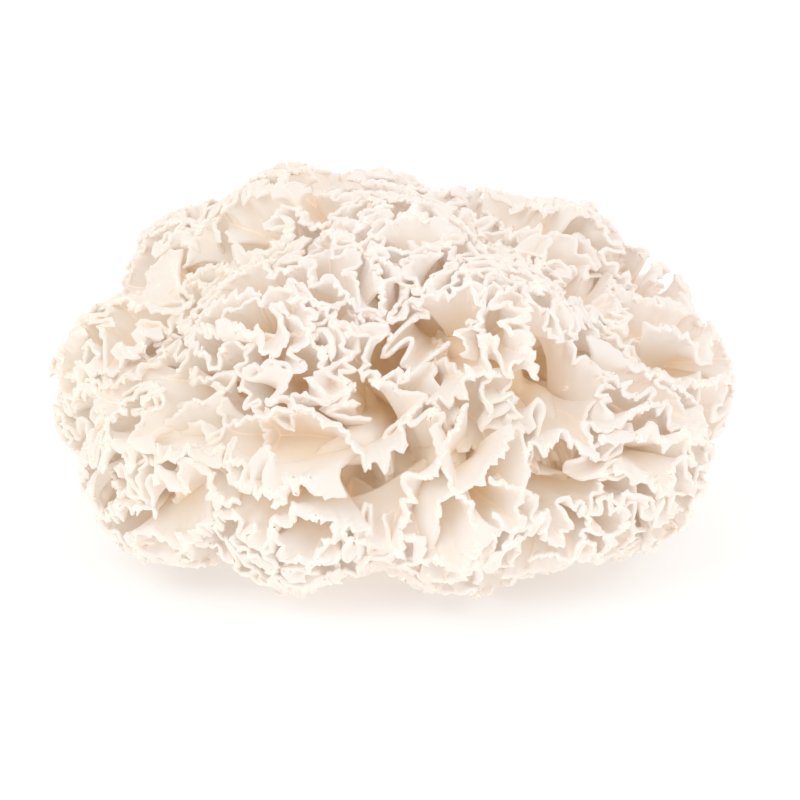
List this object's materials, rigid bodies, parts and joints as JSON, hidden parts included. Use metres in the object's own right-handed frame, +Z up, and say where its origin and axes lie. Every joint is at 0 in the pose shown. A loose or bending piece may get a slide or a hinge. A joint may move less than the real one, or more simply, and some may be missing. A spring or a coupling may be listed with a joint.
{
  "type": "cauliflower mushroom",
  "caption": "Domed head of flat, ruffled mushroom fronds fanning out from a short fleshy stalk, cut flat underneath so that it rests on a surface.",
  "frame": {"origin": "middle of the head's plan, on the flat cut foot that it rests on", "axes": "+Z up through the crown, +X to the right along the widest extent, the front of the head looks along -Y"},
  "size_m": [0.25, 0.232, 0.126],
  "materials": {
    "flesh": "matte, slightly waxy and translucent cream-white flesh, paler at the frond margins"
  },
  "bodies": {
    "root": {"fruiting_body": "flesh"}
  },
  "joints": []
}
